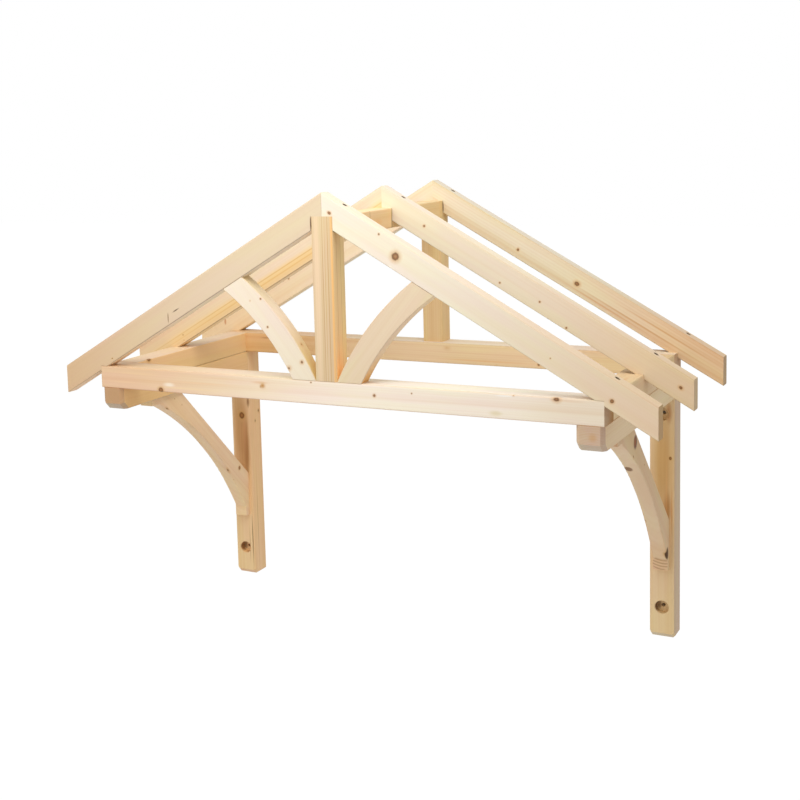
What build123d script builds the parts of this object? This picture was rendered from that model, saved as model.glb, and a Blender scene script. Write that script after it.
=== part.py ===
"""Gable porch canopy frame in planed spruce: two wall brackets, two tie beams with side plates,
two king posts, a ridge purlin, three pairs of rafters and two curved struts in the front gable.

Frame: X runs along the wall, +Y points into the wall, +Z is up. The origin is on the wall plane,
on the centre line, halfway up the back tie beam's rear face. All sizes are in millimetres.
"""

import os
from math import cos, radians, sqrt, tan

from build123d import *

# The timbers are planed, and the long edges of all but the struts are eased to this radius
arris = 5.0

# Overall sizes
span = 2100.0  # along the wall, over the ends of the tie beams
projection = 1075.0  # from the wall to the front faces of the gable
eaves_overhang = 180.0  # level, from a tie beam's end to the rafter tails
pitch = 30.0  # of both roof slopes, in degrees

# Tie beams and side plates
beam_height = 90.0
tie_depth = 110.0
plate_width = 100.0

# King posts and ridge purlin
king_width = 90.0
king_depth = 90.0
purlin_width = 90.0
purlin_height = 80.0

# Rafters
rafter_depth = 100.0  # square to the slope
rafter_thickness = 60.0
seat_heel = 20.0  # height of the birdsmouth's plumb cut over a beam's outer face
ridge_cover = 88.0  # wood left above the level seat, measured plumb at the ridge

# Recesses for the rafters' screws, bored square to the roof slope
screw_recess_radius = 9.0
screw_recess_depth = 12.0
ridge_screw = 83.0  # level, from the centre line
eaves_screw = 37.0  # level, outside a tie beam's end

# Curved struts of the front gable
strut_width = 90.0
strut_thickness = 60.0
strut_radius = 1022.0  # of the upper edge
strut_reach = 355.0  # from the centre line to where the upper edge meets the rafter
strut_chamfer = 2.5  # of the curved edges

# Wall brackets
bracket_width = 100.0
post_depth = 100.0
post_length = 1090.0
arm_height = 90.0
arm_bevel = 25.0  # across the underside of the arm's front end
arm_side_bevel = 14.0  # down both sides of that end
foot_bevel = 18.0  # across the front of the post's foot
foot_side_bevel = 8.0  # along both sides of the foot
brace_thickness = 60.0
brace_arm_leg = 535.0  # upper edge of the brace, from the post along the arm
brace_post_leg = 498.0  # upper edge of the brace, from the arm down the post
brace_arm_toe = 746.0  # front end of the brace, from the post
brace_post_toe = 704.0  # lower end of the brace, from the arm
brace_radius = 1572.0  # of the hollow underside
toe_thickness = 30.0
toe_length = 45.0

# Bolt holes in the posts, sunk from the front
bolt_hole_radius = 8.0
counterbore_radius = 28.0
counterbore_depth = 30.0
upper_bolt_drop = 155.0  # from the top of the post
lower_bolt_rise = 129.0  # from the foot of the post

# Levels and lines that the pieces share
half_span = span / 2
half_king = king_width / 2
slope = tan(radians(pitch))
beam_top = beam_height / 2
beam_bottom = -beam_height / 2
arm_bottom = beam_bottom - arm_height
post_bottom = beam_bottom - post_length
rafter_plumb = rafter_depth / cos(radians(pitch))


def rafter_underside(x):
    """Height of the rafters' lower edge at a distance x from the centre line."""
    return beam_top - seat_heel + slope * (half_span - x)


def rafter_top(x):
    """Height of the rafters' upper edge at a distance x from the centre line."""
    return rafter_underside(x) + rafter_plumb


king_top = rafter_top(0) - ridge_cover
rafter_fronts = {
    "front": projection,
    "mid": (projection + rafter_thickness) / 2,
    "back": rafter_thickness,
}
parts = {}


def finish(name, builder):
    """Label a finished piece with its node name and keep it for export."""
    builder.part.label = name
    parts[name] = builder.part


# Tie beams: level timbers across the front and against the wall
for name, front in (("front_tie_beam", projection), ("back_tie_beam", tie_depth)):
    with BuildPart() as tie_beam:
        with BuildSketch(Plane.XZ.offset(front)):
            Rectangle(span, beam_height)
        extrude(amount=-tie_depth)
        fillet(tie_beam.edges().filter_by(Axis.X), arris)
    finish(name, tie_beam)

# Side plates: lie on the arms and butt against both tie beams
with BuildPart() as right_side_plate:
    with BuildSketch(Plane.XZ.offset(projection - tie_depth)):
        with Locations((half_span - plate_width / 2, 0)):
            Rectangle(plate_width, beam_height)
    extrude(amount=-(projection - 2 * tie_depth))
    fillet(right_side_plate.edges().filter_by(Axis.Y), arris)
finish("right_side_plate", right_side_plate)

with BuildPart() as left_side_plate:
    mirror(right_side_plate.part, about=Plane.YZ)
finish("left_side_plate", left_side_plate)

# King posts: stand on the tie beams and carry the ridge
for name, front in (("front_king_post", projection), ("back_king_post", king_depth)):
    with BuildPart() as king_post:
        with BuildSketch(Plane.XZ.offset(front)):
            with Locations((0, beam_top)):
                Rectangle(king_width, king_top - beam_top, align=(Align.CENTER, Align.MIN))
        extrude(amount=-king_depth)
        fillet(king_post.edges().filter_by(Axis.Z), arris)
    finish(name, king_post)

# Ridge purlin: butts against both king posts, flush with their tops
with BuildPart() as ridge_purlin:
    with BuildSketch(Plane.XZ.offset(projection - king_depth)):
        with Locations((0, king_top)):
            Rectangle(purlin_width, purlin_height, align=(Align.CENTER, Align.MAX))
    extrude(amount=-(projection - 2 * king_depth))
    fillet(ridge_purlin.edges().filter_by(Axis.Y), arris)
finish("ridge_purlin", ridge_purlin)

# Rafters: plumb cut at the ridge and the tail, notched over the king post or purlin and over the
# beam or plate, with two screw recesses each
tail = half_span + eaves_overhang
seat_end = half_span - seat_heel / slope
ridge_support = {"front": king_width, "mid": purlin_width, "back": king_width}
for place, front in rafter_fronts.items():
    notch = ridge_support[place] / 2
    with BuildPart() as right_rafter:
        with BuildSketch(Plane.XZ.offset(front)):
            with BuildLine():
                Polyline(
                    (0, rafter_underside(0)),
                    (0, rafter_top(0)),
                    (tail, rafter_top(tail)),
                    (tail, rafter_underside(tail)),
                    close=True,
                )
            make_face()
        extrude(amount=-rafter_thickness)
        fillet(right_rafter.edges().filter_by(Axis((0, 0, 0), (1, 0, -slope))), arris)
        with BuildSketch(Plane.XZ.offset(front)):
            with BuildLine():
                Polyline(
                    (0, rafter_underside(0)),
                    (0, king_top),
                    (notch, king_top),
                    (notch, rafter_underside(notch)),
                    close=True,
                )
            make_face()
            with BuildLine():
                Polyline(
                    (seat_end, beam_top),
                    (half_span, beam_top),
                    (half_span, rafter_underside(half_span)),
                    close=True,
                )
            make_face()
        extrude(amount=-rafter_thickness, mode=Mode.SUBTRACT)
        for x in (ridge_screw, half_span + eaves_screw):
            screw_seat = Plane((x, rafter_thickness / 2 - front, rafter_top(x)), z_dir=(slope, 0, 1))
            with Locations(screw_seat):
                Hole(screw_recess_radius, screw_recess_depth)
    finish(f"{place}_right_rafter", right_rafter)

    with BuildPart() as left_rafter:
        mirror(right_rafter.part, about=Plane.YZ)
    finish(f"{place}_left_rafter", left_rafter)

# Curved struts: bowed boards from the king post's foot to the front rafters
strut_foot = Vector(half_king, beam_top)
strut_head = Vector(strut_reach, rafter_underside(strut_reach))
chord = strut_head - strut_foot
chord_to_centre = sqrt(strut_radius**2 - (chord.length / 2) ** 2)
strut_centre = (strut_foot + strut_head) / 2 + Vector(chord.Y, -chord.X).normalized() * chord_to_centre
with BuildPart() as right_gable_strut:
    with BuildSketch(Plane.XZ.offset(projection)):
        with Locations(strut_centre):
            Circle(strut_radius)
            Circle(strut_radius - strut_width, mode=Mode.SUBTRACT)
        with BuildLine():
            Polyline(
                (half_king, beam_top),
                (seat_end, beam_top),
                (half_king, rafter_underside(half_king)),
                close=True,
            )
        make_face(mode=Mode.INTERSECT)
    extrude(amount=-strut_thickness)
    chamfer(right_gable_strut.edges().filter_by(GeomType.CIRCLE), strut_chamfer)
finish("right_gable_strut", right_gable_strut)

with BuildPart() as left_gable_strut:
    mirror(right_gable_strut.part, about=Plane.YZ)
finish("left_gable_strut", left_gable_strut)

# Wall posts: bolted to the wall through two holes sunk from the front. The foot is bevelled in front
# first, and then on both sides round that bevel, which cuts its two corners
bracket_centre = half_span - bracket_width / 2
with BuildPart() as right_wall_post:
    with BuildSketch(Plane.XY.offset(post_bottom)):
        with Locations((bracket_centre, -post_depth / 2)):
            Rectangle(bracket_width, post_depth)
    extrude(amount=post_length)
    foot = right_wall_post.faces().sort_by(Axis.Z)[0]
    chamfer(foot.edges().sort_by(Axis.Y)[0], foot_bevel)
    foot_edges = right_wall_post.edges().filter_by_position(Axis.Z, post_bottom, post_bottom + foot_bevel)
    chamfer(foot_edges.filter_by(Axis.X, reverse=True), foot_side_bevel)
    fillet(right_wall_post.edges().filter_by(Axis.Z), arris)
    with Locations(Plane.XZ.offset(post_depth)):
        with Locations(
            (bracket_centre, beam_bottom - upper_bolt_drop),
            (bracket_centre, post_bottom + lower_bolt_rise),
        ):
            CounterBoreHole(bolt_hole_radius, counterbore_radius, counterbore_depth)
finish("right_wall_post", right_wall_post)

with BuildPart() as left_wall_post:
    mirror(right_wall_post.part, about=Plane.YZ)
finish("left_wall_post", left_wall_post)

# Bracket arms: level, butted against the posts. The front end is bevelled as the post's foot is,
# first below and then down both sides
with BuildPart() as right_bracket_arm:
    with BuildSketch(Plane.XZ.offset(projection)):
        with Locations((bracket_centre, beam_bottom)):
            Rectangle(bracket_width, arm_height, align=(Align.CENTER, Align.MAX))
    extrude(amount=-(projection - post_depth))
    front_end = right_bracket_arm.faces().sort_by(Axis.Y)[0]
    chamfer(front_end.edges().sort_by(Axis.Z)[0], arm_bevel)
    end_edges = right_bracket_arm.edges().filter_by_position(Axis.Y, -projection, arm_bevel - projection)
    chamfer(end_edges.filter_by(Axis.X, reverse=True), arm_side_bevel)
    fillet(right_bracket_arm.edges().filter_by(Axis.Y), arris)
finish("right_bracket_arm", right_bracket_arm)

with BuildPart() as left_bracket_arm:
    mirror(right_bracket_arm.part, about=Plane.YZ)
finish("left_bracket_arm", left_bracket_arm)

# Knee braces: straight above, hollowed below in one arc between two blunt toes
brace_side = Plane(
    origin=(bracket_centre + brace_thickness / 2, -post_depth, arm_bottom),
    x_dir=(0, -1, 0),
    z_dir=(-1, 0, 0),
)
with BuildPart() as right_knee_brace:
    with BuildSketch(brace_side):
        with BuildLine():
            upper = Polyline(
                (toe_thickness, toe_length - brace_post_toe),
                (toe_thickness, -brace_post_toe),
                (0, -brace_post_toe),
                (0, -brace_post_leg),
                (brace_arm_leg, 0),
                (brace_arm_toe, 0),
                (brace_arm_toe, -toe_thickness),
                (brace_arm_toe - toe_length, -toe_thickness),
            )
            RadiusArc(upper @ 1, upper @ 0, -brace_radius)
        make_face()
    extrude(amount=brace_thickness)
    straight_edges = right_knee_brace.edges().filter_by(Axis((0, 0, 0), (0, brace_arm_leg, -brace_post_leg)))
    fillet(straight_edges + right_knee_brace.edges().filter_by(GeomType.CIRCLE), arris)
finish("right_knee_brace", right_knee_brace)

with BuildPart() as left_knee_brace:
    mirror(right_knee_brace.part, about=Plane.YZ)
finish("left_knee_brace", left_knee_brace)

os.makedirs("parts", exist_ok=True)
for name, part in parts.items():
    export_step(part, f"parts/{name}.step")
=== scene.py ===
from math import cos, radians, sin, tan

import bpy
from mathutils import Euler, Matrix, Vector


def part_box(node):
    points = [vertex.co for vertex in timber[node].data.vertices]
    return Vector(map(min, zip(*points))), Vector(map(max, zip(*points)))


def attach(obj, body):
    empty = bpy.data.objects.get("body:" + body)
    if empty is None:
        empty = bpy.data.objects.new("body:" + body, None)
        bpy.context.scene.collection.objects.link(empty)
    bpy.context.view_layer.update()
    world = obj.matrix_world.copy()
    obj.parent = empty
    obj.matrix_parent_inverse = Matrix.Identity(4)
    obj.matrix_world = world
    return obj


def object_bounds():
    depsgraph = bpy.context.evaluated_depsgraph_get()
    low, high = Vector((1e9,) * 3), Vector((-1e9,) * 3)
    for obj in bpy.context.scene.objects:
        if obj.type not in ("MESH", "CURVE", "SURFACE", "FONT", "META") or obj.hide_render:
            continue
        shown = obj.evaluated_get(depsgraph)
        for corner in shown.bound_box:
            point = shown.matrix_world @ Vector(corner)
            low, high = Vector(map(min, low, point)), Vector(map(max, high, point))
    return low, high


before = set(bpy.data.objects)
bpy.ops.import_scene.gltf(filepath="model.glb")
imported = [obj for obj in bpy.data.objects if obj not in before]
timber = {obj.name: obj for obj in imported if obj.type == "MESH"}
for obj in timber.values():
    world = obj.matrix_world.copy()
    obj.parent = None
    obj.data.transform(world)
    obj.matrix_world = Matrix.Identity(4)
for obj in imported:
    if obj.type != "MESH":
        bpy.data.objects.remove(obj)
cad_low, cad_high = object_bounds()

# ---- Wall posts ----------------------------------------------------------------------------------
# Two square spruce posts, bolted to the house wall through holes sunk from the front. They are planed
# on four sides, eased along the edges and bevelled at the foot, and were never oiled or painted.


def linear(hex_colour):
    """An sRGB hex colour as linear red, green, blue and alpha."""
    shares = [int(hex_colour[i : i + 2], 16) / 255 for i in (1, 3, 5)]
    return [s / 12.92 if s <= 0.04045 else ((s + 0.055) / 1.055) ** 2.4 for s in shares] + [1.0]


def add(tree, kind, sockets=(), **settings):
    """A new node with its settings. A socket takes a value, a link, or a node's first live output."""
    node = tree.nodes.new(kind)
    for setting, value in settings.items():
        setattr(node, setting, value)
    for socket, value in dict(sockets).items():
        if isinstance(value, bpy.types.Node):
            value = next(output for output in value.outputs if output.enabled)
        if isinstance(value, bpy.types.NodeSocket):
            tree.links.new(value, node.inputs[socket])
        else:
            node.inputs[socket].default_value = value
    return node


MM = 1000.0  # in a metre
BOLT_HEIGHTS = (-200, -1006)  # mm
BOLT_RECESS_SHADE = ((17, 24, 25), "#7A4E22", 0.75)  # half sizes in mm, hue and strength of the painted shade inside a bolt's counterbore
ALONG_X = (0, 0, 0)  # degrees that bring a board's grain onto X
ALONG_Y = (0, 0, -90)
ALONG_Z = (0, 90, 0)
RING_PITCH = 9.0  # mm; spruce grows 2 to 4 mm a year, too fine to show, so several years make one ring
RING_SWAY = 14.0  # mm that a ring wanders off its circle
SWAY_CLOUD = (900.0, 110.0)  # mm along and across one swing of that wander
FIBRE_CLOUD = (300.0, 2.5)  # mm along and across a bundle of fibres; one fibre is too fine to show
PATCH_CLOUD = (380.0, 55.0)  # mm along and across a pinker or yellower stretch of the board
BAND_LENGTH = 2400.0  # mm along a run of slower or faster years
BAND_WIDTH = 22.0  # mm across it
FIBRE_RELIEF = 0.4  # mm
HEARTWOOD = "#E3C095"  # what late wood and slow years do to the tone
ROSY, CREAMY = "#FFF8F4", "#FFFDF0"  # the two ways the tone drifts from patch to patch
UPPER_EDGE_PAINTED_SHADE = "#EDE8E0"  # painted shade on an eased upper edge, where the rounding would otherwise catch a bright highlight
KNOT_SWELL = 3.5  # knot radii out to which a knot bends the rings
RING_BEND = 0.8  # of a ring, by which it gives way there
KNOT_RIPPLE = 0.13  # waves in a mm of a knot's ragged edge
KNOT_REACH = 4.0  # knot radii that the zones cover
KNOT_ZONES = (  # share of that reach, hue and cover: heart, brown rim, dark bark ring, stained wood around
    (0.12, "#9C6428", 0.85),
    (0.23, "#86501C", 0.92),
    (0.31, "#6A4014", 0.88),
    (0.4, "#CF9850", 0.5),
    (0.72, "#E4BC84", 0.0),
)


def planed_spruce(node, turn, pith, tones, figure, knots, streaks=(), seams_and_shade=(), ends=(), drift=None):
    """Planed spruce: soft rings, warm bands, faint fibres and knots on an even, pale tone.

    turn: degrees that bring the grain onto X
    pith: mm across the grain to the tree's centre
    tones: hues of the faces to the front, to the side, above and below, with painted light and shade for
    how light falls on each
    figure: strength of the rings, bands and fibres
    knots: (x, y, z, radius, stretch along the grain, paleness) in mm, None for the visible face
    streaks: (x, y, z, half length, half width, hue, strength), along the grain; a few are painted shade
    seams_and_shade: (x, y, z, half sizes, hue, strength), over all the rest: seams and marks, and painted
    shade in recesses and along joints
    ends: sawn ends, where the rings show, with the same values as seams
    drift: mm along the grain from and to, and the hues there
    """
    material = bpy.data.materials.new("planed_spruce_" + node)
    material.use_nodes = True
    tree = material.node_tree
    tree.nodes.clear()
    space = add(tree, "ShaderNodeTexCoord").outputs
    place = add(tree, "ShaderNodeMapping", {"Vector": space["Object"], "Scale": (MM, MM, MM)})
    rotation = Euler([radians(angle) for angle in turn])
    turned = add(tree, "ShaderNodeMapping", {"Vector": place, "Rotation": rotation})
    low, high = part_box(node)
    visible_faces = (high[0] * MM, low[1] * MM, high[2] * MM)  # to the right, in front and on top
    seed = sum(ord(letter) * (i + 1) for i, letter in enumerate(node)) % 97 / 3  # another log for each

    def away(at, half, with_grain):
        """Distance from a spot on the piece, in half sizes."""
        spot = Vector([face if a is None else a for a, face in zip(at, visible_faces)])
        if with_grain:
            spot = rotation.to_matrix() @ spot
        offset = add(
            tree,
            "ShaderNodeVectorMath",
            {
                0: turned if with_grain else place,
                1: [1 / h for h in half],
                2: [-s / h for s, h in zip(spot, half)],
            },
            operation="MULTIPLY_ADD",
        )
        return add(tree, "ShaderNodeVectorMath", {0: offset}, operation="LENGTH")

    # knots: distance from the nearest one, in knot radii
    near = 1000.0  # farther than any
    for x, y, z, radius, stretch, paleness in knots:
        reach = away((x, y, z), (radius * stretch, radius, radius), True)
        reach = add(tree, "ShaderNodeMath", {0: reach, 1: paleness}, operation="ADD")
        near = add(tree, "ShaderNodeMath", {0: near, 1: reach}, operation="MINIMUM")

    # clouds drawn out along the grain: the rings' wander, the fibres, the patches
    clouds = []
    for (length, width), detail, roughness in (
        (SWAY_CLOUD, 2.0, 0.5),
        (FIBRE_CLOUD, 3.0, 0.65),
        (PATCH_CLOUD, 2.0, 0.5),
    ):
        per_mm = (1 / length, 1 / width, 1 / width)
        drawn_out = add(tree, "ShaderNodeVectorMath", {0: turned, 1: per_mm}, operation="MULTIPLY")
        cloud = {"Vector": drawn_out, "W": seed, "Scale": 1.0, "Detail": detail, "Roughness": roughness}
        clouds.append(add(tree, "ShaderNodeTexNoise", cloud, noise_dimensions="4D"))
    sway, fibre, patch = clouds
    wander = sway.outputs["Color"]

    # rings: circles round the pith that wander slowly along the board and bend round knots
    sideways_only = (0, RING_SWAY, RING_SWAY)
    bent = add(
        tree, "ShaderNodeVectorMath", {0: wander, 1: sideways_only, 2: turned}, operation="MULTIPLY_ADD"
    )
    to_pith = (0, -pith[0] - RING_SWAY / 2, -pith[1] - RING_SWAY / 2)
    centred = add(
        tree, "ShaderNodeVectorMath", {0: bent, 1: (0, 1, 1), 2: to_pith}, operation="MULTIPLY_ADD"
    )
    age = add(tree, "ShaderNodeVectorMath", {0: centred}, operation="LENGTH")
    swell = add(
        tree,
        "ShaderNodeMapRange",
        {"Value": near, "From Max": KNOT_SWELL, "To Min": RING_PITCH * RING_BEND, "To Max": 0.0},
        interpolation_type="SMOOTHSTEP",
    )
    age = add(tree, "ShaderNodeMath", {0: age, 1: swell}, operation="ADD")
    rings = add(tree, "ShaderNodeMath", {0: age, 1: RING_PITCH}, operation="DIVIDE")
    season = add(tree, "ShaderNodeMath", {0: rings}, operation="FRACT")
    late = 1.0
    for start, end in ((0.15, 0.8), (1.0, 0.85)):
        rise = add(
            tree,
            "ShaderNodeMapRange",
            {"Value": season, "From Min": start, "From Max": end},
            interpolation_type="SMOOTHSTEP",
        )
        late = add(tree, "ShaderNodeMath", {0: late, 1: rise}, operation="MULTIPLY")

    # bands: slower and faster years, which follow the rings
    along = add(tree, "ShaderNodeSeparateXYZ", {0: turned})
    along_band = add(tree, "ShaderNodeMath", {0: along, 1: BAND_LENGTH}, operation="DIVIDE")
    across_band = add(tree, "ShaderNodeMath", {0: age, 1: BAND_WIDTH}, operation="DIVIDE")
    years = add(tree, "ShaderNodeCombineXYZ", {0: along_band, 1: across_band})
    growth = add(
        tree,
        "ShaderNodeTexNoise",
        {"Vector": years, "W": seed, "Scale": 1.0, "Detail": 2.0, "Roughness": 0.6},
        noise_dimensions="4D",
    )
    band = add(
        tree,
        "ShaderNodeMapRange",
        {"Value": growth, "From Min": 0.38, "From Max": 0.7},
        interpolation_type="SMOOTHSTEP",
    )
    depth = 0.0
    for pattern, strength in zip((late, band, fibre), figure):
        depth = add(
            tree,
            "ShaderNodeMath",
            {0: pattern, 1: strength, 2: depth},
            operation="MULTIPLY_ADD",
            use_clamp=True,
        )

    # tone: each face has its own hue, partly another cut of the log and partly painted light and shade for
    # how light falls on that side
    coats = []  # (share, hue, way of mixing), laid on in this order
    facing = add(tree, "ShaderNodeSeparateXYZ", {0: space["Normal"]}).outputs
    sideways, across = [add(tree, "ShaderNodeMath", {0: facing[i]}, operation="ABSOLUTE") for i in (0, 1)]
    for lean, start, end, tone in (
        (sideways, 0.72, 0.9, tones[1]),
        (facing[2], 0.6, 0.8, tones[2]),
        (facing[2], -0.4, -0.65, tones[3]),
    ):
        share = add(
            tree,
            "ShaderNodeMapRange",
            {"Value": lean, "From Min": start, "From Max": end},
            interpolation_type="SMOOTHSTEP",
        )
        coats.append((share, linear(tone), "MIX"))
    # painted shade: the eased upper front edges are darkened, so their rounding shows no bright highlight
    upper_edge_shade_share = 1.0
    for lean, start, end in ((across, 0.2, 0.45), (across, 0.99, 0.9), (facing[2], 0.1, 0.3)):
        share = add(
            tree,
            "ShaderNodeMapRange",
            {"Value": lean, "From Min": start, "From Max": end},
            interpolation_type="SMOOTHSTEP",
        )
        upper_edge_shade_share = add(tree, "ShaderNodeMath", {0: upper_edge_shade_share, 1: share}, operation="MULTIPLY")
    coats.append((upper_edge_shade_share, linear(UPPER_EDGE_PAINTED_SHADE), "MULTIPLY"))

    # slow changes: along the board, and from patch to patch
    if drift:
        start, end, first, last = drift
        share = add(
            tree,
            "ShaderNodeMapRange",
            {"Value": along, "From Min": start, "From Max": end},
            interpolation_type="SMOOTHSTEP",
        )
        slow = add(tree, "ShaderNodeMix", {0: share, 6: linear(first), 7: linear(last)}, data_type="RGBA")
        coats.append((1.0, slow, "MULTIPLY"))
    share = add(
        tree,
        "ShaderNodeMapRange",
        {"Value": patch, "From Min": 0.35, "From Max": 0.65},
        interpolation_type="SMOOTHSTEP",
    )
    tint = add(tree, "ShaderNodeMix", {0: share, 6: linear(ROSY), 7: linear(CREAMY)}, data_type="RGBA")
    coats.append((1.0, tint, "MULTIPLY"))

    # marks: streaks under the figure, then sawn ends, knots, and seams and painted shade over it; some
    # streaks are painted shade too
    for x, y, z, half_length, half_width, hue, strength in streaks:
        reach = away((x, y, z), (half_length, half_width, half_width), True)
        reach = add(tree, "ShaderNodeMath", {0: wander, 1: 0.5, 2: reach}, operation="MULTIPLY_ADD")
        cover = add(
            tree,
            "ShaderNodeMapRange",
            {"Value": reach, "From Min": 1.2, "From Max": 0.4, "To Max": strength},
            interpolation_type="SMOOTHSTEP",
        )
        coats.append((cover, linear(hue), "MIX"))
    coats.append((depth, linear(HEARTWOOD), "MULTIPLY"))
    for x, y, z, half, hue, strength in ends:
        reach = away((x, y, z), half, False)
        cover = add(
            tree,
            "ShaderNodeMapRange",
            {"Value": reach, "From Min": 1.1, "From Max": 0.8, "To Max": strength},
            interpolation_type="SMOOTHSTEP",
        )
        cover = add(tree, "ShaderNodeMath", {0: cover, 1: late}, operation="MULTIPLY")
        coats.append((cover, linear(hue), "MIX"))
    ragged = add(tree, "ShaderNodeTexNoise", {"Vector": place, "Scale": KNOT_RIPPLE, "Detail": 2.0})
    edge = add(tree, "ShaderNodeMath", {0: ragged, 1: 0.5, 2: near}, operation="MULTIPLY_ADD")
    edge = add(tree, "ShaderNodeMath", {0: edge, 1: KNOT_REACH}, operation="DIVIDE")
    knot = add(tree, "ShaderNodeValToRGB", {0: edge})
    for share, hue, cover in KNOT_ZONES[2:]:
        knot.color_ramp.elements.new(share)
    for stop, (share, hue, cover) in zip(knot.color_ramp.elements, KNOT_ZONES):
        stop.position = share
        stop.color = linear(hue)[:3] + [cover]
    coats.append((knot.outputs["Alpha"], knot.outputs["Color"], "MIX"))
    for x, y, z, half, hue, strength in seams_and_shade:
        reach = away((x, y, z), half, False)
        cover = add(
            tree,
            "ShaderNodeMapRange",
            {"Value": reach, "From Min": 1.1, "From Max": 0.6, "To Max": strength},
            interpolation_type="SMOOTHSTEP",
        )
        coats.append((cover, linear(hue), "MIX"))
    colour = linear(tones[0])
    for share, hue, way in coats:  # sockets 6 and 7 are a Mix node's two colours
        colour = add(
            tree, "ShaderNodeMix", {0: share, 6: colour, 7: hue}, data_type="RGBA", blend_type=way
        )

    # surface: fibres a little rougher and prouder than the wood between them
    sheen = add(
        tree,
        "ShaderNodeMapRange",
        {"Value": fibre, "From Min": 0.3, "From Max": 0.7, "To Min": 0.55, "To Max": 0.68},
        interpolation_type="SMOOTHSTEP",
    )
    relief = add(tree, "ShaderNodeMath", {0: late, 1: 0.4, 2: fibre}, operation="MULTIPLY_ADD")
    bump = add(
        tree, "ShaderNodeBump", {"Height": relief, "Strength": 0.25, "Distance": FIBRE_RELIEF / MM}
    )
    skin = add(
        tree,
        "ShaderNodeBsdfPrincipled",
        {"Base Color": colour, "Roughness": sheen, "IOR": 1.5, "Specular IOR Level": 0.25, "Normal": bump},
    )
    add(tree, "ShaderNodeOutputMaterial", {0: skin})
    timber[node].data.materials.clear()
    timber[node].data.materials.append(material)


planed_spruce(
    "left_wall_post",
    ALONG_Z,
    (-60, 985),
    ("#FCE1B6", "#FEDEB1", "#FEDEAE", "#F1CDAE"),
    (0.1, 0.35, 0.1),
    knots=[
        (-995, None, -358, 12, 1.1, 0.0),
        (None, -22, -346, 5, 1.6, 0.4),
        (None, -54, -389, 4, 2.0, 0.5),
        (-985, 0, -300, 8, 1.0, 0.0),
        (-1012, 0, -820, 6, 1.0, 0.2),
        (-1050, -40, -500, 7, 1.0, 0.1),
    ],
    seams_and_shade=[(-1020, -84, z, *BOLT_RECESS_SHADE) for z in BOLT_HEIGHTS],
    streaks=[
        # the first two streaks darken the upper front: painted shade of the brace and canopy, the second
        # also a heartwood stripe
        (-1000, None, -430, 330, 66, "#C99860", 0.85),
        (-975, None, -520, 200, 22, "#AE7A46", 0.75),
        (-983, None, -430, 190, 14, "#DDA878", 0.5),
        (-1001, None, -470, 170, 4, "#C88F60", 0.6),
        (-971, None, -440, 160, 3.5, "#C88F60", 0.6),
        (-958, None, -290, 40, 12, "#8E5F30", 0.8),
        (-959, None, -960, 170, 4, "#8E6236", 0.8),
        (-975, None, -990, 120, 2.5, "#B98C58", 0.7),
        (-950, -62, -880, 320, 5, "#C9A06C", 0.5),
        (-1030, None, -600, 330, 7, "#E9BE8C", 0.5),
    ],
)
planed_spruce(
    "right_wall_post",
    ALONG_Z,
    (-20, -1090),
    ("#F2DAB1", "#DDC8B0", "#EDD4A8", "#DED0BA"),
    (0.05, 0.2, 0.08),
    knots=[(1033, None, -380, 4, 1.2, -0.2), (1012, 0, -420, 7, 1.0, 0.0), (950, -60, -650, 6, 1.0, 0.2)],
    seams_and_shade=[(980, -84, z, *BOLT_RECESS_SHADE) for z in BOLT_HEIGHTS],
    streaks=[
        # the broad first streak darkens the upper front beside the brace: painted shade of the brace and
        # canopy over the wood's own warmer tone
        (1000, None, -400, 340, 66, "#D4A662", 0.8),
        (1022, None, -590, 100, 20, "#B9813F", 0.7),
        (1027, None, -195, 60, 17, "#C58C58", 0.75),
        (1039, None, -600, 130, 5, "#DDA262", 0.7),
        (1018, None, -520, 200, 6, "#E9BC80", 0.5),
    ],
)

# ---- Bracket arms --------------------------------------------------------------------------------
# Level spruce arms butted against the posts, which carry the front beam and the side plates. Their front
# ends show the sawn end grain, bevelled below and at the sides.
planed_spruce(
    "left_bracket_arm",
    ALONG_Y,
    (985, -70),
    ("#C7A380", "#F5D19C", "#E9CC9B", "#D2C3B0"),
    (0.08, 0.15, 0.08),
    knots=[(-1050, -500, -90, 7, 1.0, 0.0)],
    ends=[(-1000, -1075, -90, (60, 16, 60), "#C79B70", 0.3)],
)
planed_spruce(
    "right_bracket_arm",
    ALONG_Y,
    (-1010, -175),
    ("#D7BFAA", "#F9E6C1", "#EDD2A6", "#DACEBC"),
    (0.06, 0.15, 0.08),
    knots=[(950, -600, -80, 7, 1.0, 0.1)],
    streaks=[(1010, -1075, -84, 40, 24, "#D2A26C", 0.6)],
    ends=[(1000, -1075, -90, (60, 16, 60), "#D0A67A", 0.2)],
)

# ---- Knee braces ---------------------------------------------------------------------------------
# Spruce braces sawn from wide boards so that the grain runs from arm to post, straight above and
# hollowed below, and butted at their two blunt toes.
BRACE_TURN = (42.95, 0, -90)  # degrees; the board climbs at 43 from the post to the arm
planed_spruce(
    "left_knee_brace",
    BRACE_TURN,
    (980, -560),
    ("#FFE4B9", "#F9DDB9", "#FDD5AD", "#F8DDBC"),
    (0.06, 0.2, 0.1),
    knots=[
        (None, -736, -202, 6, 2.0, 0.3),
        (None, -679, -164, 3, 1.0, 0.7),
        (None, -627, -201, 3, 1.0, 0.7),
        (None, -641, -284, 6, 2.4, 0.0),
        (None, -280, -584, 6, 2.4, 0.0),
        (None, -231, -639, 3, 1.0, 0.6),
        (None, -178, -593, 7, 1.0, 0.0),
        (None, -215, -789, 8, 1.5, 0.3),
        (-1030, -420, -420, 7, 1.2, 0.0),
    ],
)
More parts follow.
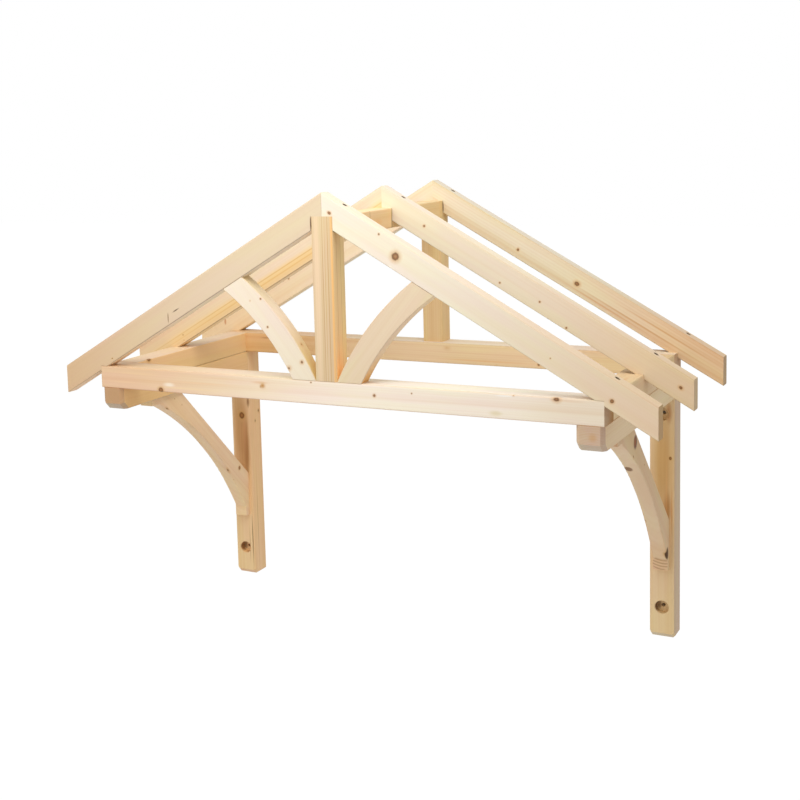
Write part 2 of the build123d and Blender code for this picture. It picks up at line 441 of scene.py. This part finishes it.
planed_spruce(
    "right_knee_brace",
    BRACE_TURN,
    (-1010, -560),
    ("#EECDA9", "#EAD1AD", "#F1D3A4", "#F1DCBD"),
    (0.06, 0.2, 0.1),
    knots=[
        (None, -488, -314, 4, 1.2, 0.7),
        (None, -639, -248, 3, 3.0, 0.4),
        (None, -142, -765, 9, 1.4, 0.1),
        (970, -500, -380, 8, 1.1, 0.0),
        (970, -260, -600, 5, 1.0, 0.2),
    ],
    seams_and_shade=[
        (1030, -614, -199, (16, 25, 30), "#5C2C0C", 0.95),
        (1030, -619, -197, (16, 14, 20), "#A4602C", 0.85),
        (986, -548, -320, (18, 27, 19), "#805228", 0.85),
        (1029, -136, -766, (9, 20, 30), "#4C3014", 0.92),
    ],
    ends=[(1000, -130, -812, (34, 14, 30), "#A0744A", 0.55)],
)

# ---- Tie beams and side plates -------------------------------------------------------------------
# Level spruce timbers: one beam across the front and one against the wall, with a plate between them on
# each side, which lies on the arm. The front beam is the knottiest and brightest board of the frame.
planed_spruce(
    "front_tie_beam",
    ALONG_X,
    (-1095, -150),
    # the side hue is painted shade, dark where the rafter shades the right end; the seam at the left end
    # gives that end its own sawn tone
    ("#FCF4E9", "#B08444", "#F2EFE4", "#F4D4B9"),
    (0.03, 0.2, 0.06),
    knots=[
        (-755, None, -37, 8, 1.2, 0.0),
        (-278, None, 11, 13, 1.05, 1.15),
        (-66, None, 37, 3, 1.0, 0.4),
        (197, None, 5, 4.5, 1.0, 0.1),
        (347, None, 23, 2.5, 1.0, 0.3),
        (732, None, 42, 4, 1.2, 0.9),
        (885, None, 39, 8, 1.4, 0.3),
        (-500, -965, 10, 9, 1.0, 0.0),
        (300, -965, -15, 7, 1.0, 0.2),
        (0, -1020, -45, 7, 1.0, 0.1),
    ],
    streaks=[
        (-278, None, 11, 15, 14, "#BE8A50", 0.85),
        (-287, None, 7, 7, 9, "#A06C38", 0.6),
        (-290, None, 22, 60, 9, "#E6BC8C", 0.5),
        (-714, None, -13, 42, 14, "#FFF3E0", 0.85),
        (-880, None, 22, 190, 7, "#F0CFA4", 0.6),
        (-560, None, 2, 230, 6, "#F2CFA4", 0.6),
        (-470, None, 27, 170, 5, "#EED0A8", 0.5),
        (-640, None, -24, 240, 7, "#F5D9AC", 0.6),
        (-940, None, -15, 120, 9, "#F3CFA6", 0.5),
        (666, None, -26, 34, 14, "#E6D6AC", 0.6),
        (700, None, 38, 52, 5, "#FFFAF0", 0.9),
        (930, None, 36, 90, 7, "#F3CDA4", 0.5),
        (1010, None, 0, 330, 110, "#EFDAC0", 0.5),
    ],
    seams_and_shade=[(-1050, -1020, 0, (4, 130, 110), "#DDBF95", 0.9)],
    drift=(200, -950, "#FFFFFF", "#EFD6BE"),
)
planed_spruce(
    "back_tie_beam",
    ALONG_X,
    (-150, -160),
    ("#F2DCB6", "#D7BC9E", "#E7DCCB", "#E0C6A0"),
    (0.05, 0.3, 0.08),
    knots=[
        (488, None, -27, 5, 1.0, 0.3),
        (75, None, 23, 14, 1.5, 1.4),
        (-600, 0, -10, 8, 1.0, 0.0),
        (150, 0, 12, 10, 1.0, 0.1),
        (700, 0, -20, 6, 1.0, 0.2),
    ],
    streaks=[(-837, None, 25, 45, 4, "#A9794E", 0.7), (250, None, -25, 300, 7, "#EDBE84", 0.5)],
    drift=(-50, -850, "#FFFFFF", "#F2DFC6"),
)
planed_spruce(
    "left_side_plate",
    ALONG_Y,
    (1100, -60),
    ("#E3CDAA", "#F1CD9A", "#E3CDB1", "#E3C798"),
    (0.05, 0.12, 0.07),
    knots=[(-950, -880, 45, 8, 1.2, 0.0), (-1050, -400, 10, 8, 1.0, 0.0)],
)
planed_spruce(
    "right_side_plate",
    ALONG_Y,
    (-1100, -70),
    ("#E3CDA6", "#F2DAB5", "#D9C49F", "#E3C495"),
    (0.05, 0.15, 0.07),
    knots=[(950, -700, -10, 7, 1.0, 0.1)],
    streaks=[(1010, -750, 45, 170, 12, "#CF9C64", 0.6)],
)

# ---- King posts and ridge purlin -----------------------------------------------------------------
# The spruce posts stand on the beams and hold up the ridge. The front one is sawn near the heart, so its
# rings run as fine upright lines on the front face.
SHADOW_LINE = "#6E5238"  # painted shadow: the thin dark line where two boards' cuts meet, also drawn under two left rafters' lower edges
planed_spruce(
    "front_king_post",
    ALONG_Z,
    (-1040, -150),
    ("#E0CCAB", "#FAE3B0", "#EAD4AD", "#DDC49C"),
    (0.1, 0.2, 0.1),
    knots=[(10, -985, 300, 7, 1.0, 0.0), (-45, -1030, 450, 6, 1.0, 0.2)],
    streaks=[
        (-24, None, 350, 700, 20, "#EFD3B0", 0.8),
        (0, None, 350, 700, 2.2, "#C69A66", 0.8),
        (9, None, 350, 700, 2.0, "#CFA46C", 0.7),
        (22, None, 350, 700, 2.2, "#C8995F", 0.8),
        (39, None, 350, 900, 9, "#F4C078", 0.9),
        (45, -1050, 350, 700, 2.5, "#C8995F", 0.6),
        (45, -1020, 350, 700, 3.0, "#D0A062", 0.6),
    ],
    seams_and_shade=[(45, -1045, 603, (4, 34, 3.5), SHADOW_LINE, 0.8)],
)
planed_spruce(
    "back_king_post",
    ALONG_Z,
    (-140, -110),
    ("#E7CE9F", "#F5DCA9", "#E6D3AF", "#D7C49E"),
    (0.12, 0.3, 0.1),
    knots=[(-8, 0, 250, 8, 1.0, 0.0), (-45, -50, 400, 5, 1.0, 0.2)],
    # this streak is painted shade, darker at the top under the rafters
    streaks=[(0, None, 600, 130, 70, "#CFA76E", 0.5)],
)
planed_spruce(
    "ridge_purlin",
    ALONG_Y,
    (-10, 560),
    ("#E7CDA8", "#F6D8A7", "#E3CFA8", "#E7C498"),
    (0.05, 0.2, 0.08),
    knots=[(-45, -500, 615, 7, 1.0, 0.0)],
    streaks=[(45, -700, 610, 70, 22, "#F7BE7C", 0.6)],
    seams_and_shade=[(45, -765, 620, (60, 1.6, 60), "#8A6844", 0.85), (45, -570, 610, (6, 4, 60), SHADOW_LINE, 0.8)],
)

# ---- Rafters -------------------------------------------------------------------------------------
# Three pairs of spruce boards, plumb cut where they meet at the ridge, notched over the beams and screwed
# down from above. They are the palest boards, creamy at the ridge and warmer towards the tails.
ROOF_PITCH = 30.0  # degrees
RIGHT_SLOPE = (0, -ROOF_PITCH, 0)
LEFT_SLOPE = (0, ROOF_PITCH, 0)
SCREW_LINES = (83.0, 1087.0)  # mm from the centre line, over the ridge's timbers and over the beams
RECESS_DEPTH = 12.0  # mm
# painted shade inside a bored screw recess
RECESS_SHADE = "#4A3322"


def under_slope(rafter, depth):
    """Places on the axes of a rafter's two screws, at a depth in mm square to the roof slope."""
    low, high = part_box(rafter)
    pitch = radians(ROOF_PITCH)
    side = 1 if "right" in rafter else -1
    inward = -Vector((side * sin(pitch), 0, cos(pitch)))
    middle = (low[1] + high[1]) / 2 * MM
    tops = [Vector((side * x, middle, high[2] * MM - x * tan(pitch))) for x in SCREW_LINES]
    return [top + depth * inward for top in tops]


def screw_recesses(rafter):
    """Painted shade for the dark insides of a rafter's two screw recesses."""
    return [(*spot, (13, 13, 13), RECESS_SHADE, 0.9) for spot in under_slope(rafter, RECESS_DEPTH / 2)]


planed_spruce(
    "front_right_rafter",
    RIGHT_SLOPE,
    (-1160, 500),
    ("#F1E9DA", "#C7B089", "#E1D5C6", "#D3C3A9"),
    (0.02, 0.1, 0.05),
    knots=[
        (295, None, 516, 12, 1.0, 0.0),
        (232, None, 595, 3.5, 1.0, 0.3),
        (1076, None, 46, 5.5, 1.0, 0.0),
        (865, None, 179, 3, 1.0, 0.6),
        (33, None, 671, 4.5, 1.3, 0.0),
        (430, -1015, 430, 7, 1.0, 0.0),
        (880, -1015, 190, 5, 1.0, 0.2),
    ],
    streaks=[(276, None, 476, 22, 9, "#FBF0DC", 0.7)],
    seams_and_shade=[(0, -1075, 700, (1.6, 70, 60), SHADOW_LINE, 0.6), *screw_recesses("front_right_rafter")],
    drift=(100, 1350, "#FFFFFF", "#FFEFDB"),
)
planed_spruce(
    "front_left_rafter",
    LEFT_SLOPE,
    (-1170, 520),
    ("#DECEB4", "#D2B995", "#E1D5C6", "#F9EDD8"),
    (0.02, 0.08, 0.04),
    knots=[
        (-991, None, 78, 2.5, 1.5, 0.4),
        (-350, -1015, 480, 8, 1.0, 0.0),
        (-760, -1015, 240, 5, 1.0, 0.2),
    ],
    # the second streak is a painted shadow line along the rafter's lower front edge
    streaks=[(-666, None, 288, 27, 3.6, "#4E3826", 1.0), (-620, None, 274, 1500, 4, SHADOW_LINE, 0.8)],
    seams_and_shade=[
        (-704, -1075, 256, (2.4, 30, 23), "#80603F", 0.9),
        (-46.5, -1075, 632, (2.2, 60, 30), SHADOW_LINE, 0.9),
        *screw_recesses("front_left_rafter"),
    ],
    drift=(-100, -1350, "#FFFFFF", "#FFE8DA"),
)
planed_spruce(
    "mid_right_rafter",
    RIGHT_SLOPE,
    (-660, 480),
    ("#E9E1D0", "#D8CCB4", "#E3D9CA", "#D5CAB0"),
    (0.03, 0.15, 0.06),
    knots=[
        (183, None, 587, 4.5, 1.0, 0.2),
        (495, None, 370, 3.5, 1.0, 0.2),
        (654, None, 301, 3.5, 1.0, 0.2),
        (757, None, 206, 3.5, 1.0, 0.2),
        (1183, None, 5, 6, 1.3, 0.3),
        (300, -507.5, 500, 6, 1.0, 0.1),
        (800, -507.5, 215, 8, 1.0, 0.0),
    ],
    seams_and_shade=screw_recesses("mid_right_rafter"),
    drift=(100, 1350, "#FFFFFF", "#FFEFDA"),
)
planed_spruce(
    "mid_left_rafter",
    LEFT_SLOPE,
    (-650, 510),
    ("#EADBC4", "#D8CCB4", "#E3D9CA", "#FFEBC4"),
    (0.04, 0.15, 0.06),
    knots=[
        (-989, None, 100, 2.5, 1.0, 0.4),
        (-985, None, 77, 2, 1.0, 0.4),
        (-400, -507.5, 460, 7, 1.0, 0.0),
        (-900, -507.5, 180, 5, 1.0, 0.2),
    ],
    streaks=[
        (-500, None, 360, 1400, 30, "#EBCB94", 0.85),
        (-500, None, 384, 1400, 28, "#EDCE92", 0.85),
        (-500, None, 391, 1300, 3.5, "#D2A258", 0.5),
        (-500, None, 372, 1100, 4, "#DDAE68", 0.5),
        # painted shadow line along the rafter's lower front edge
        (-620, None, 274, 1500, 4, SHADOW_LINE, 0.8),
    ],
    seams_and_shade=screw_recesses("mid_left_rafter"),
    drift=(-50, -1250, "#FFFFFF", "#FFF0DE"),
)
planed_spruce(
    "back_right_rafter",
    RIGHT_SLOPE,
    (-180, 490),
    ("#EADEC7", "#C7BCA6", "#E6E0D2", "#DCCBA8"),
    (0.12, 0.35, 0.08),
    knots=[
        (385, None, 450, 5.5, 1.0, 0.2),
        (639, None, 312, 9, 1.2, 0.2),
        (250, 0, 540, 7, 1.0, 0.0),
        (600, 0, 330, 10, 1.0, 0.1),
        (1050, 0, 85, 6, 1.0, 0.0),
    ],
    streaks=[
        (900, None, 150, 380, 6, "#D0A06C", 0.7),
        (1000, None, 125, 300, 5, "#D6A672", 0.7),
        (760, None, 215, 260, 5, "#DCB080", 0.6),
    ],
    seams_and_shade=[(47, -60, 630, (4, 3, 30), SHADOW_LINE, 0.85), *screw_recesses("back_right_rafter")],
    drift=(150, 1250, "#FBFFFF", "#FFEAD3"),
)
planed_spruce(
    "back_left_rafter",
    LEFT_SLOPE,
    (-190, 500),
    ("#F2DFC8", "#CFC0A8", "#E6DED0", "#FFF3DC"),
    (0.05, 0.2, 0.08),
    knots=[
        (-736, None, 301, 4, 1.0, 0.1),
        (-1086, None, 21, 3, 1.0, 0.3),
        (-300, 0, 500, 9, 1.0, 0.0),
        (-650, 0, 320, 6, 1.0, 0.2),
        (-1000, 0, 115, 7, 1.0, 0.0),
    ],
    seams_and_shade=[(-1093, -60, 85, (6, 4, 17), "#CC9064", 0.85), *screw_recesses("back_left_rafter")],
    drift=(-50, -1250, "#FBFFFF", "#FFFBE2"),
)

# ---- Rafter screws -------------------------------------------------------------------------------
# Zinc plated steel screws that hold the rafters down, two to each. They are turned by a six-lobed socket
# and sunk in bored recesses, so that only their heads show. Geometry Nodes set one on each seat.
HEAD_RADIUS = 6.5  # mm
HEAD_HEIGHT = 3.0  # mm
HEAD_SIDES = 24
SOCKET_SHARE = 0.5  # of the head's radius
SOCKET_DEPTH = 1.8  # mm
LOBES = 6.0  # round the socket
LOBE_SWING = 0.14  # share that its edge swings in and out
SINK = 11.9  # mm from the roof slope down to the foot of a head
SPANGLE = 1.5  # mm across a cloud of the plating

plating = bpy.data.materials.new("zinc_plated_steel")  # dark grey with a faint cloudy sheen
plating.use_nodes = True
zinc = plating.node_tree
zinc.nodes.clear()
zinc_space = add(zinc, "ShaderNodeTexCoord").outputs
spangle = add(
    zinc, "ShaderNodeTexNoise", {"Vector": zinc_space["Object"], "Scale": MM / SPANGLE, "Detail": 2.0}
)
# the plating's tone is set darker than bright zinc: painted shade from the deep recess
shaded_zinc_tone = add(
    zinc, "ShaderNodeMix", {0: spangle, 6: linear("#3A3531"), 7: linear("#575049")}, data_type="RGBA"
)
zinc_sheen = add(zinc, "ShaderNodeMapRange", {"Value": spangle, "To Min": 0.3, "To Max": 0.5})
zinc_skin = add(
    zinc, "ShaderNodeBsdfPrincipled", {"Base Color": shaded_zinc_tone, "Metallic": 1.0, "Roughness": zinc_sheen}
)
add(zinc, "ShaderNodeOutputMaterial", {0: zinc_skin})

seats, leans = [], []
for side, turn in (("right", 1), ("left", -1)):
    for place in ("front", "mid", "back"):
        for spot in under_slope(f"{place}_{side}_rafter", SINK):
            seats.append(spot / MM)
            leans.append(turn * radians(ROOF_PITCH))
seat_mesh = bpy.data.meshes.new("screw_seats")
seat_mesh.from_pydata(seats, [], [])
seat_mesh.attributes.new("lean", "FLOAT", "POINT").data.foreach_set("value", leans)
screw_seats = bpy.data.objects.new("screw_seats", seat_mesh)
bpy.context.scene.collection.objects.link(screw_seats)

screw_tree = bpy.data.node_groups.new("screw_heads", "GeometryNodeTree")
screw_tree.interface.new_socket("Geometry", in_out="INPUT", socket_type="NodeSocketGeometry")
screw_sizes = {}
for label, size in (
    ("Head radius", HEAD_RADIUS / MM),
    ("Head height", HEAD_HEIGHT / MM),
    ("Socket share", SOCKET_SHARE),
    ("Socket depth", SOCKET_DEPTH / MM),
    ("Lobe swing", LOBE_SWING),
):
    socket = screw_tree.interface.new_socket(label, in_out="INPUT", socket_type="NodeSocketFloat")
    screw_sizes[socket.identifier] = size
screw_tree.interface.new_socket("Geometry", in_out="OUTPUT", socket_type="NodeSocketGeometry")
given = add(screw_tree, "NodeGroupInput").outputs

# a plain disc standing on its seat
blank = add(
    screw_tree,
    "GeometryNodeMeshCylinder",
    {"Vertices": HEAD_SIDES, "Radius": given["Head radius"], "Depth": given["Head height"]},
).outputs
half_height = add(screw_tree, "ShaderNodeMath", {0: given["Head height"], 1: 0.5}, operation="MULTIPLY")
lift = add(screw_tree, "ShaderNodeCombineXYZ", {2: half_height})
raised = add(screw_tree, "GeometryNodeTransform", {"Geometry": blank["Mesh"], "Translation": lift})

# its top drawn in to a ring with six lobes, and that ring sunk
rim = add(
    screw_tree,
    "GeometryNodeExtrudeMesh",
    {"Mesh": raised, "Selection": blank["Top"], "Offset Scale": 0.0},
    mode="FACES",
).outputs
point = add(screw_tree, "GeometryNodeInputPosition")
flat = add(screw_tree, "ShaderNodeSeparateXYZ", {0: point}).outputs
angle = add(screw_tree, "ShaderNodeMath", {0: flat["Y"], 1: flat["X"]}, operation="ARCTAN2")
lobes = add(screw_tree, "ShaderNodeMath", {0: angle, 1: LOBES}, operation="MULTIPLY")
swing = add(screw_tree, "ShaderNodeMath", {0: lobes}, operation="COSINE")
swing = add(
    screw_tree, "ShaderNodeMath", {0: swing, 1: given["Lobe swing"], 2: 1.0}, operation="MULTIPLY_ADD"
)
share = add(screw_tree, "ShaderNodeMath", {0: swing, 1: given["Socket share"]}, operation="MULTIPLY")
drawn_in = add(screw_tree, "ShaderNodeCombineXYZ", {0: share, 1: share, 2: 1.0})
inner = add(screw_tree, "ShaderNodeVectorMath", {0: point, 1: drawn_in}, operation="MULTIPLY")
star = add(
    screw_tree,
    "GeometryNodeSetPosition",
    {"Geometry": rim["Mesh"], "Selection": rim["Top"], "Position": inner},
)
down = add(screw_tree, "ShaderNodeMath", {0: given["Socket depth"], 1: -1.0}, operation="MULTIPLY")
head = add(
    screw_tree,
    "GeometryNodeExtrudeMesh",
    {"Mesh": star, "Selection": rim["Top"], "Offset Scale": down},
    mode="FACES",
)

# one head on each seat, leaning with the roof
lean = add(screw_tree, "GeometryNodeInputNamedAttribute", {"Name": "lean"}, data_type="FLOAT")
tilt = add(screw_tree, "ShaderNodeCombineXYZ", {1: lean})
placed = add(
    screw_tree,
    "GeometryNodeInstanceOnPoints",
    {"Points": given["Geometry"], "Instance": head, "Rotation": tilt},
)
real = add(screw_tree, "GeometryNodeRealizeInstances", {0: placed})
coated = add(screw_tree, "GeometryNodeSetMaterial", {"Geometry": real, "Material": plating})
add(screw_tree, "NodeGroupOutput", {0: coated})

screw_maker = screw_seats.modifiers.new("screw_heads", "NODES")
screw_maker.node_group = screw_tree
for identifier, size in screw_sizes.items():
    screw_maker[identifier] = size
view = bpy.context.evaluated_depsgraph_get()
heads = bpy.data.meshes.new_from_object(screw_seats.evaluated_get(view))
heads.name = "rafter_screws"
rafter_screws = bpy.data.objects.new("rafter_screws", heads)
bpy.context.scene.collection.objects.link(rafter_screws)
bpy.data.objects.remove(screw_seats)
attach(rafter_screws, "root")

# ---- Gable struts --------------------------------------------------------------------------------
# Two bowed spruce boards in the front gable, sawn from straight planks, so the grain follows the chord
# and runs out at the curved edges.
STRUT_RISE = 50.9  # degrees from level to the chord
planed_spruce(
    "left_gable_strut",
    (0, 180 - STRUT_RISE, 0),
    (-1180, -120),
    ("#F1E6D8", "#E6D29C", "#E4D7B3", "#D8BD8F"),
    (0.02, 0.1, 0.05),
    knots=[
        (-158, None, 86, 9, 1.0, 0.75),
        (-102, None, 112, 7, 1.0, 0.5),
        (-118, -1045, 174, 9, 1.0, 0.9),
        (-73, -1030, 134, 3, 1.0, 0.3),
        (-74, -1035, 119, 3, 1.0, 0.3),
        (-273, None, 346, 3.5, 1.0, 0.2),
        (-246, None, 239, 3.5, 1.0, 0.2),
        # this knot entry is painted shade: the dark gap at the strut's head under the rafter
        (-320, None, 337, 5, 1.0, 1.2),
        (-200, -1015, 220, 7, 1.0, 0.0),
    ],
)
planed_spruce(
    "right_gable_strut",
    (0, STRUT_RISE, 0),
    (-1185, 120),
    ("#E8D8BD", "#F9BE59", "#E9D8BE", "#FAE7CC"),
    (0.03, 0.12, 0.05),
    knots=[(150, -1015, 170, 6, 1.0, 0.0), (290, -1015, 330, 5, 1.0, 0.2)],
)

# ---- Floor, light and camera ---------------------------------------------------------------------
# A pale studio floor well below the canopy, two large soft lamps in front and above, and an even white
# all round.
FLOOR_DROP = 0.6  # m below the posts' feet
FLOOR_GLOW = 1.066  # brings the floor's own white up to the wall's
FLOOR_EVENNESS = 0.9  # share of that glow to the eye; the rest is lit paint, which keeps the shadow
bpy.ops.mesh.primitive_plane_add(size=60, location=(0, 0, 0))
floor = bpy.context.object
floor.name = "studio_floor"
for corner in floor.data.vertices:
    corner.co.z = cad_low.z - FLOOR_DROP
paint = bpy.data.materials.new("matt_white_floor_paint")  # no sheen, so only a faint shadow shows
paint.use_nodes = True
floor_tree = paint.node_tree
floor_tree.nodes.clear()
matt = add(floor_tree, "ShaderNodeBsdfDiffuse", {"Color": linear("#F2F2F2")})
glow = add(floor_tree, "ShaderNodeEmission", {"Color": (1, 1, 1, 1), "Strength": FLOOR_GLOW})
rays = add(floor_tree, "ShaderNodeLightPath").outputs
seen = 0.0
for ray in ("Is Camera Ray", "Is Glossy Ray", "Is Transmission Ray"):
    seen = add(floor_tree, "ShaderNodeMath", {0: seen, 1: rays[ray]}, operation="ADD", use_clamp=True)
share = add(floor_tree, "ShaderNodeMath", {0: seen, 1: FLOOR_EVENNESS}, operation="MULTIPLY")
even_floor = add(floor_tree, "ShaderNodeMixShader", {0: share, 1: matt, 2: glow})
add(floor_tree, "ShaderNodeOutputMaterial", {0: even_floor})
floor.data.materials.append(paint)

ROOM_LIGHT = 0.55  # share of the white all round that falls on the canopy
world = bpy.data.worlds.new("white_studio")
bpy.context.scene.world = world
world.use_nodes = True
sky = world.node_tree
sky.nodes.clear()
rays = add(sky, "ShaderNodeLightPath").outputs
seen = 0.0
for ray in ("Is Camera Ray", "Is Glossy Ray", "Is Transmission Ray"):
    seen = add(sky, "ShaderNodeMath", {0: seen, 1: rays[ray]}, operation="ADD", use_clamp=True)
soft = add(sky, "ShaderNodeBackground", {"Color": (1, 1, 1, 1), "Strength": ROOM_LIGHT})
white = add(sky, "ShaderNodeBackground", {"Color": (1, 1, 1, 1), "Strength": 1.0})
around = add(sky, "ShaderNodeMixShader", {0: seen, 1: soft, 2: white})
add(sky, "ShaderNodeOutputWorld", {0: around})

LAMP_SIZE = 1.6  # m
LAMPS_AIM = Vector((0, -0.55, -0.1))  # m, near the middle of the frame
for label, watts, spot in (
    ("front_softbox", 33.0, (-0.809, -2.771, 1.747)),
    ("top_softbox", 42.0, (0.602, -1.409, 2.496)),
):
    lamp = bpy.data.lights.new(label, "AREA")
    lamp.shape = "SQUARE"
    lamp.size = LAMP_SIZE
    lamp.energy = watts
    softbox = bpy.data.objects.new(label, lamp)
    softbox.location = spot
    softbox.rotation_euler = (LAMPS_AIM - softbox.location).to_track_quat("-Z", "Y").to_euler()
    bpy.context.scene.collection.objects.link(softbox)

CAMERA_SPOT = Vector((2.28345, -5.27139, 0.94557))  # m, to the right, in front and a little above
YAW, PITCH, ROLL = (radians(a) for a in (29.1644, 7.0823, -1.8419))
ahead = Vector((-sin(YAW) * cos(PITCH), cos(YAW) * cos(PITCH), -sin(PITCH)))
level = Vector((cos(YAW), sin(YAW), 0))
upright = level.cross(ahead)
right = cos(ROLL) * level + sin(ROLL) * upright
top = -sin(ROLL) * level + cos(ROLL) * upright
lens = bpy.data.cameras.new("studio_camera")
lens.sensor_width = 36.0
lens.lens = 58.7327
lens.shift_x = 0.1125
lens.shift_y = -0.125
camera = bpy.data.objects.new("studio_camera", lens)
turn_to_view = Matrix((right, top, -ahead)).transposed()
camera.matrix_world = Matrix.Translation(CAMERA_SPOT) @ turn_to_view.to_4x4()
bpy.context.scene.collection.objects.link(camera)
bpy.context.scene.camera = camera
bpy.context.scene.view_settings.view_transform = "Standard"
